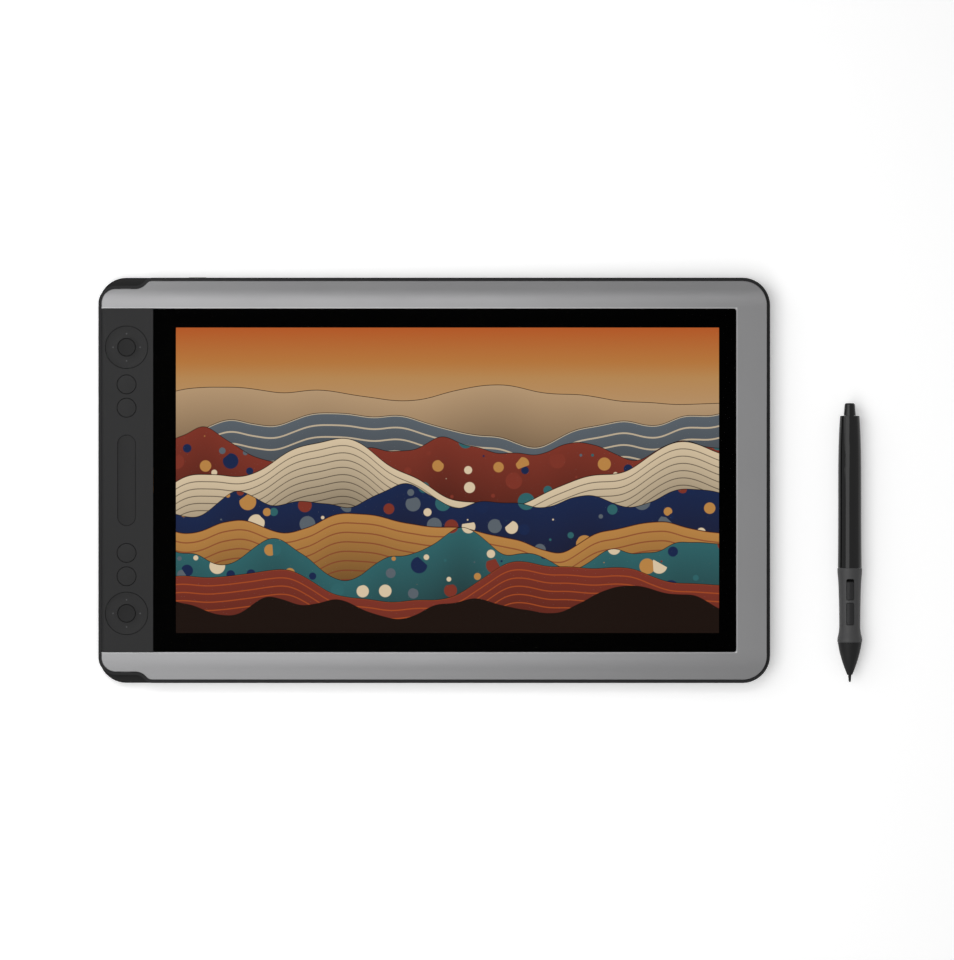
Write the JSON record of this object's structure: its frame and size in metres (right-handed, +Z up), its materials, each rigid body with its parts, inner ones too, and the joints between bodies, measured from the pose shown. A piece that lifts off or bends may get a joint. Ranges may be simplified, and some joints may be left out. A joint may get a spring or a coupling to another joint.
{
  "type": "graphics tablet with screen",
  "caption": "Flat pen display with a silver crowned bezel, a dark key strip with rocking rings and round keys, and its pen lying beside it.",
  "frame": {"origin": "centre of the set's footprint, on the table that the tablet's feet and the pen stand on", "axes": "+X to the right along the tablet's long side, +Y away from the user, +Z up out of the screen"},
  "size_m": [0.4845, 0.2572, 0.0165],
  "materials": {
    "shell_black": "glossy black moulded plastic",
    "foot_rubber": "matt black rubber",
    "brass_thread": "machined",
    "screw_steel": "black-plated steel",
    "frame_grey": "dark grey satin plastic",
    "bezel_silver": "fine satin silver",
    "panel_grey": "dark grey matt plastic",
    "cover_glass": "clear hardened glass",
    "mask_black": "black ink on the glass",
    "seal_foam": "black foam tape",
    "tray_steel": "pressed sheet",
    "board_green": "green solder mask",
    "white_plastic": "white moulded plastic",
    "clear_plastic": "clear acrylic",
    "lamp_strip": "white strip with yellow lamps",
    "film_white": "white film",
    "screen": "lit screen",
    "switch_black": "black plastic",
    "inner_black": "black moulded plastic",
    "key_grey": "dark grey matt plastic",
    "key_dark": "near-black satin plastic",
    "touch_grey": "dark grey satin plastic",
    "socket_steel": "drawn shell",
    "chip_black": "moulded chip",
    "connector_cream": "cream plastic",
    "cable_film": "amber film",
    "pen_gloss": "glossy black plastic",
    "pen_rubber": "dark grey soft rubber",
    "pen_matt": "near-black matt plastic",
    "pen_button": "satin dark grey plastic",
    "nib_black": "black nib plastic",
    "ferrite": "sintered ferrite",
    "copper": "enamelled copper wire"
  },
  "bodies": {
    "housing": {"back_cover": "shell_black", "rubber_feet": "foot_rubber", "vesa_inserts": "brass_thread", "back_screws": "screw_steel", "mid_frame": "frame_grey", "front_bezel": "bezel_silver", "key_panel": "panel_grey", "panel_screws": "screw_steel", "cover_glass": "cover_glass", "border_mask": "mask_black", "glass_seal": "seal_foam", "panel_tray": "tray_steel", "tray_screws": "screw_steel", "shield_plate": "tray_steel", "digitizer_board": "board_green", "panel_frame": "white_plastic", "light_guide": "clear_plastic", "led_strip": "lamp_strip", "diffuser_sheets": "film_white", "lcd_cell": "screen", "key_board": "board_green", "key_switches": "switch_black", "key_carrier": "inner_black", "touch_bar": "touch_grey", "touch_bar_board": "board_green", "usb_sockets": "socket_steel", "port_boards": "board_green", "power_board": "board_green", "main_board": "board_green", "board_chips": "chip_black", "board_connectors": "connector_cream", "board_screws": "screw_steel", "key_cable": "cable_film", "screen_cable": "cable_film", "port_cables": "cable_film"},
    "centre_key_bottom": {"centre_key_bottom": "key_dark"},
    "centre_key_top": {"centre_key_top": "key_dark"},
    "power_button": {"power_button": "frame_grey"},
    "ring_pad_bottom": {"ring_pad_bottom": "key_grey"},
    "ring_pad_top": {"ring_pad_top": "key_grey"},
    "ring_pivot_bottom": {"ring_pivot_bottom": "inner_black"},
    "ring_pivot_top": {"ring_pivot_top": "inner_black"},
    "round_key_1": {"round_key_1": "key_grey"},
    "round_key_2": {"round_key_2": "key_grey"},
    "round_key_3": {"round_key_3": "key_grey"},
    "round_key_4": {"round_key_4": "key_grey"},
    "pen": {"pen_barrel": "pen_gloss", "pen_tail_cap": "pen_gloss", "pen_grip": "pen_rubber", "pen_cone": "pen_matt", "pen_ferrite": "ferrite", "pen_coil": "copper", "pen_sensor": "inner_black", "pen_core": "inner_black", "pen_board": "board_green", "pen_switch_domes": "switch_black"},
    "pen_nib": {"pen_nib": "nib_black", "pen_nib_holder": "inner_black"},
    "pen_switch_lower": {"pen_switch_lower": "pen_button"},
    "pen_switch_upper": {"pen_switch_upper": "pen_button"}
  },
  "joints": [
    {"name": "ring_tilt_up_down_top", "type": "hinge", "parent": "housing", "child": "ring_pivot_top", "pos_m": [-0.22421, 0.0843, 0.0131], "axis": [1, 0, 0], "range_deg": [-1.5, 1.5], "stiffness_Nm_per_rad": 0.3},
    {"name": "ring_tilt_left_right_top", "type": "hinge", "parent": "ring_pivot_top", "child": "ring_pad_top", "pos_m": [-0.22421, 0.0843, 0.0131], "axis": [0, 1, 0], "range_deg": [-1.5, 1.5], "stiffness_Nm_per_rad": 0.3},
    {"name": "centre_key_press_top", "type": "slide", "parent": "housing", "child": "centre_key_top", "axis": [0, 0, -1], "range_m": [0, 0.0004], "stiffness_N_per_m": 400, "springref_m": -0.0004},
    {"name": "ring_tilt_up_down_bottom", "type": "hinge", "parent": "housing", "child": "ring_pivot_bottom", "pos_m": [-0.22421, -0.0843, 0.0131], "axis": [1, 0, 0], "range_deg": [-1.5, 1.5], "stiffness_Nm_per_rad": 0.3},
    {"name": "ring_tilt_left_right_bottom", "type": "hinge", "parent": "ring_pivot_bottom", "child": "ring_pad_bottom", "pos_m": [-0.22421, -0.0843, 0.0131], "axis": [0, 1, 0], "range_deg": [-1.5, 1.5], "stiffness_Nm_per_rad": 0.3},
    {"name": "centre_key_press_bottom", "type": "slide", "parent": "housing", "child": "centre_key_bottom", "axis": [0, 0, -1], "range_m": [0, 0.0004], "stiffness_N_per_m": 400, "springref_m": -0.0004},
    {"name": "round_key_press_1", "type": "slide", "parent": "housing", "child": "round_key_1", "axis": [0, 0, -1], "range_m": [0, 0.0004], "stiffness_N_per_m": 400, "springref_m": -0.0004},
    {"name": "round_key_press_2", "type": "slide", "parent": "housing", "child": "round_key_2", "axis": [0, 0, -1], "range_m": [0, 0.0004], "stiffness_N_per_m": 400, "springref_m": -0.0004},
    {"name": "round_key_press_3", "type": "slide", "parent": "housing", "child": "round_key_3", "axis": [0, 0, -1], "range_m": [0, 0.0004], "stiffness_N_per_m": 400, "springref_m": -0.0004},
    {"name": "round_key_press_4", "type": "slide", "parent": "housing", "child": "round_key_4", "axis": [0, 0, -1], "range_m": [0, 0.0004], "stiffness_N_per_m": 400, "springref_m": -0.0004},
    {"name": "power_button_press", "type": "slide", "parent": "housing", "child": "power_button", "axis": [0, -1, 0], "range_m": [0, 0.0004], "stiffness_N_per_m": 400, "springref_m": -0.0004},
    {"name": "pen_lift", "type": "slide", "parent": "housing", "child": "pen", "axis": [0, 0, 1], "range_m": [0, 0.15]},
    {"name": "nib_press", "type": "slide", "parent": "pen", "child": "pen_nib", "axis": [0, 1, 0], "range_m": [0, 0.0003], "stiffness_N_per_m": 1000, "springref_m": -0.0001},
    {"name": "pen_switch_press_lower", "type": "slide", "parent": "pen", "child": "pen_switch_lower", "axis": [0, 0, -1], "range_m": [0, 0.00035], "stiffness_N_per_m": 400, "springref_m": -0.0004},
    {"name": "pen_switch_press_upper", "type": "slide", "parent": "pen", "child": "pen_switch_upper", "axis": [0, 0, -1], "range_m": [0, 0.00035], "stiffness_N_per_m": 400, "springref_m": -0.0004}
  ]
}
